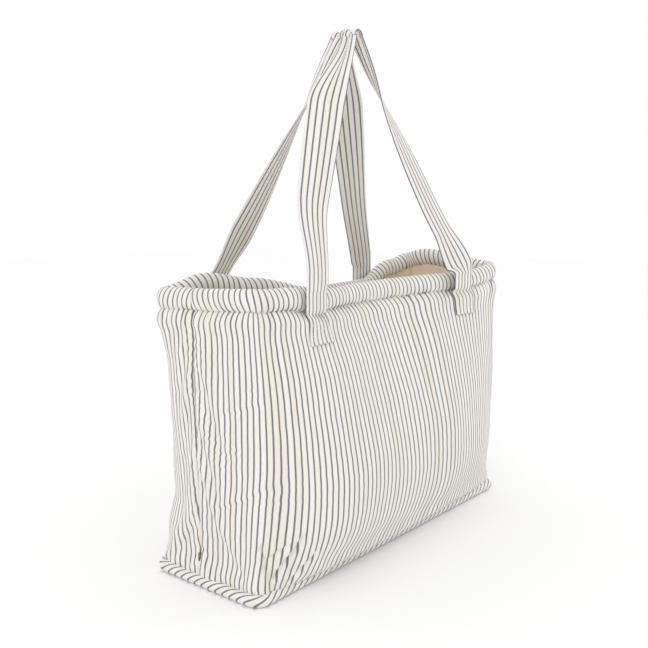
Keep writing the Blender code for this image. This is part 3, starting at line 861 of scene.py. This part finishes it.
def leg_rows(side, foot_x, across):
    """Rows of the middle surface of one leg, hinge to just below the bend."""
    out = OUT[side]
    hand = 1.0 if foot_x > APEX_X else -1.0
    leg = int(foot_x > APEX_X)
    foot = Vector((foot_x + FOOT_SLIP[side][leg], out * STRAP_FOOT_Y, STRAP_FOOT_Z))
    top = Vector((APEX_X + hand * APEX_BEND, out * (STRAP_APEX_WIDTH / 2 + GAP), APEX_Z - APEX_BEND))
    along = (top - foot).normalized()
    turn = math.copysign(0.5 * math.pi, -out * hand)
    bow = Vector((BOW_X[side][leg], -out * LEAN_Y[side][leg], 0.0))
    rows = []
    for i in range(LEG_STEPS + 1):
        share = i / LEG_STEPS
        angle = turn * share ** TWIST_POWER[side][leg] + FOOT_TURN[side][leg] * foot_turn_share(share)
        wide = Vector((math.cos(angle), math.sin(angle), 0.0))
        wide = (wide - along * wide.dot(along) * float(smooth(share / 0.06))).normalized()
        depth = along.cross(wide).normalized() * -out
        centre = foot.lerp(top, share) + bow * bow_share(share)
        pinch = 1 - FOOT_PINCH[side][leg] * (1 - float(smooth(share / 0.25)))
        rows.append(strap_row(centre, wide * pinch, depth * -out, across, share))
    return np.array(rows)


def foot_turn_share(share):
    """How much of its foot turn a leg has: none at the hinge and none far up."""
    return float(smooth(share / 0.04) * (1 - smooth((share - 0.05) / 0.16)))


def bow_share(share):
    """How much of its bow a leg has, at a share of its length."""
    return float(smooth(share / 0.34) * smooth((1 - share) / 0.3))


def strap_row(centre, wide, deep, across, share):
    """Points across the strap: flat, then gathered into folds towards the apex."""
    gather = float(smooth((share - 0.72) / 0.26))
    width = STRAP_WIDTH + (STRAP_APEX_WIDTH - STRAP_WIDTH) * gather
    pleats = 0.0030 * gather * np.cos(3 * math.pi * across + 0.6)
    cup = -0.0012 * (1 - gather) * np.cos(math.pi * across)
    lift = pleats + cup
    return np.array([centre + wide * (a * width) + deep * h for a, h in zip(across, lift)])


def crown_rows(side, across):
    """Rows over the bend at the apex, left leg to right leg."""
    out = OUT[side]
    middle = Vector((APEX_X, out * (STRAP_APEX_WIDTH / 2 + GAP), APEX_Z - APEX_BEND))
    rows = []
    for angle in np.radians(np.arange(170, 5, -10)):
        reach = Vector((math.cos(angle), 0.0, math.sin(angle)))
        rows.append(strap_row(middle + APEX_BEND * reach, Vector((0.0, 1.0, 0.0)), -reach, across, 1.0))
    return np.array(rows)


def facing_same_way(rows, before):
    """rows, with its columns swapped end for end where that continues the row before."""
    same = np.linalg.norm(rows[0] - before, axis=1).sum()
    swapped = np.linalg.norm(rows[0][::-1] - before, axis=1).sum()
    return rows if same <= swapped else rows[:, ::-1]


def add_straps(walls, material):
    across = np.linspace(-0.5, 0.5, STRAP_COLUMNS)
    for side in ("front", "back"):
        legs = []
        for foot_x in FOOT_X[side]:
            sewn = sewn_rows(side, walls[side], foot_x, across)
            leg = leg_rows(side, foot_x, across)
            legs.append(np.concatenate([sewn, leg]))
        crown = facing_same_way(crown_rows(side, across), legs[0][-1])
        right = facing_same_way(legs[1][::-1], crown[-1])
        rows = np.concatenate([legs[0], crown, right])
        normals = grid_normals(rows, rows * 0 + np.array([0.0, OUT[side], 0.0]))
        edge = 1 - STRAP_EDGE_SOFT * np.abs(2 * across) ** 8
        half = (0.5 * STRAP_THICK * edge)[None, :, None]
        middle = rows.mean(axis=1)
        walked = np.cumsum(np.linalg.norm(np.diff(middle, axis=0, prepend=middle[:1]), axis=-1))
        u = (across + 0.5) * STRAP_WIDTH - STRAP_FIRST_STRIPE
        cloth = np.stack(np.meshgrid(u, walked), axis=-1)
        name = f"{side}_shoulder_strap"
        mesh = slab(name, rows + normals * half, rows - normals * half, cloth)
        item = add_piece(name, mesh, material)
        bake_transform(item)
        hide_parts(f"{side}_strap", f"{side}_left_strap_end", f"{side}_right_strap_end")


# ---------------------------------------------------------------- stitches and label


def stitch_run(start, end, length=0.0030, space=0.0011):
    """Ends of the stitches along a line from start to end, in two dimensions."""
    start, end = np.array(start), np.array(end)
    whole = np.linalg.norm(end - start)
    count = max(1, round(whole / (length + space)))
    step = (end - start) / count
    keep = length / (length + space)
    return [(start + step * i, start + step * (i + keep)) for i in range(count)]


def stitch_ring(middle, along, outward, radius):
    side = along.cross(outward).normalized()
    ring = []
    for k in range(STITCH_SIDES):
        angle = 2 * math.pi * k / STITCH_SIDES
        ring.append(middle + (outward * math.cos(angle) + side * math.sin(angle)) * radius)
    return ring


def stitch_faces(vertices, start, end, outward):
    """Adds one stitch's vertices and gives its faces: a short thread that dips into the cloth."""
    along = (end - start).normalized()
    first = len(vertices)
    for share, lift, radius in STITCH_SECTIONS:
        middle = start.lerp(end, share) + outward * lift
        vertices += stitch_ring(middle, along, outward, radius)
    faces = []
    last = first + STITCH_SIDES * (len(STITCH_SECTIONS) - 1)
    for a in range(first, last, STITCH_SIDES):
        b = a + STITCH_SIDES
        for k in range(STITCH_SIDES):
            m = (k + 1) % STITCH_SIDES
            faces.append((a + k, b + k, b + m, a + m))
    faces.append(tuple(first + k for k in range(STITCH_SIDES)))
    faces.append(tuple(last + k for k in reversed(range(STITCH_SIDES))))
    return faces


def add_box_stitches(walls, material):
    """A rectangle and a cross of stitches through each sewn strap end."""
    margin = 0.005
    half_wide = STRAP_WIDTH / 2 - margin
    half_tall = PATCH_TALL / 2 - margin
    turns = ((-1, -1), (1, -1), (1, 1), (-1, 1))
    corners = [(hand * half_wide, level * half_tall) for hand, level in turns]
    lines = list(zip(corners, corners[1:] + corners[:1]))
    lines += [(corners[0], corners[2]), (corners[1], corners[3])]
    for side in ("front", "back"):
        out = OUT[side]
        for hand, foot_x in zip(("left", "right"), FOOT_X[side]):
            middle_z = patch_foot(side, foot_x) + PATCH_TALL / 2
            vertices, faces = [], []
            for line in lines:
                for pair in stitch_run(*line):
                    ends = []
                    for px, pz in pair:
                        x, z = foot_x + px, middle_z + pz
                        y = wall_face(walls[side], [x], np.array([z]))[0, 0]
                        ends.append(Vector((x, y + out * (GAP + STRAP_THICK), z)))
                    faces += stitch_faces(vertices, *ends, Vector((0.0, out, 0.0)))
            name = f"{side}_{hand}_box_x_stitch"
            mesh = mesh_from(name, [tuple(v) for v in vertices], faces)
            item = add_piece(name, mesh, material, "bag")
            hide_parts(f"{side}_{hand}_box_stitch")


def add_label(material):
    """A small folded tab in the left side seam."""
    low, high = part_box("seam_label")
    fold_reach, half_thick, tail = 0.0012, 0.0009, 0.0035
    steps = 12
    middle_y = LEFT_SEAM_Y + 0.85 * LEFT_SEAM_SLANT  # the seam's place near the foot
    angles = math.pi * (0.5 + np.arange(steps + 1) / steps)
    fold = [(fold_reach * math.cos(a), half_thick * math.sin(a)) for a in angles]
    path = [(tail, half_thick), *fold, (tail, -half_thick)]
    rows = np.array([(low[0] + fold_reach + px, middle_y + py) for px, py in path])
    z = np.linspace(low[2], high[2], steps) + LABEL_LIFT
    droop = 0.0003 * np.sin(np.linspace(0, math.pi, steps))
    outer = np.array([[(x - d, y, h) for x, y in rows] for h, d in zip(z, droop)])
    centre = np.array([rows[:, 0].mean(), middle_y])
    inner = outer.copy()
    inner[..., :2] += (centre - inner[..., :2]) * 0.3
    mesh = slab("side_label", outer, inner, outer[..., 1:])
    item = add_piece("side_label", mesh, material, "bag")
    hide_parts("seam_label")


# ---------------------------------------------------------------- set


def add_camera():
    camera = bpy.data.cameras.new("camera")
    camera.lens = 46.70
    camera.sensor_width = 36.0
    item = bpy.data.objects.new("camera", camera)
    item.location = (-0.97564, -0.76230, 0.48659)
    item.rotation_euler = (math.radians(90 - 8.1618), 0.0, math.radians(39.5636 - 90))
    bpy.context.scene.collection.objects.link(item)
    bpy.context.scene.camera = item


def add_area_light(name, place, size, power):
    light = bpy.data.lights.new(name, "AREA")
    light.shape = "DISK"
    light.size = size
    light.energy = power
    item = bpy.data.objects.new(name, light)
    item.location = place
    item.rotation_euler = (LIT_MIDDLE - Vector(place)).to_track_quat("-Z", "Y").to_euler()
    bpy.context.scene.collection.objects.link(item)


def add_set():
    """A plain pale floor under soft studio light."""
    mesh = mesh_from("floor", [(-6, -6, 0), (6, -6, 0), (6, 6, 0), (-6, 6, 0)], [(0, 1, 2, 3)])
    n = Nodes("studio_floor")
    n.shader.inputs["Base Color"].default_value = (0.985, 0.985, 0.985, 1)
    n.shader.inputs["Roughness"].default_value = 0.9
    mesh.materials.append(n.material)
    floor = bpy.data.objects.new("floor", mesh)
    floor.location.z = -0.0005
    bpy.context.scene.collection.objects.link(floor)
    world = bpy.data.worlds.new("studio")
    world.use_nodes = True
    world.node_tree.nodes["Background"].inputs["Color"].default_value = (1, 1, 1, 1)
    world.node_tree.nodes["Background"].inputs["Strength"].default_value = 1.0
    bpy.context.scene.world = world
    add_area_light("key", (-2.6, -1.2, 2.2), 1.6, 11)
    add_area_light("fill", (2.4, -1.8, 1.8), 2.0, 3)
    bpy.context.scene.view_settings.view_transform = "Standard"


def main():
    add_camera()
    add_set()
    striped = striped_cotton("striped_cotton")
    strap = striped_cotton("strap_cotton")
    bias = striped_cotton("bias_cotton")
    lining = plain_cotton("lining_cotton", (0.98, 0.82, 0.63))
    walls = add_walls(striped)
    add_linings(lining)
    add_rim(striped)
    add_piping(bias)
    add_base(striped, lining)
    add_straps(walls, strap)
    add_box_stitches(walls, thread_material())
    add_label(label_material())


main()
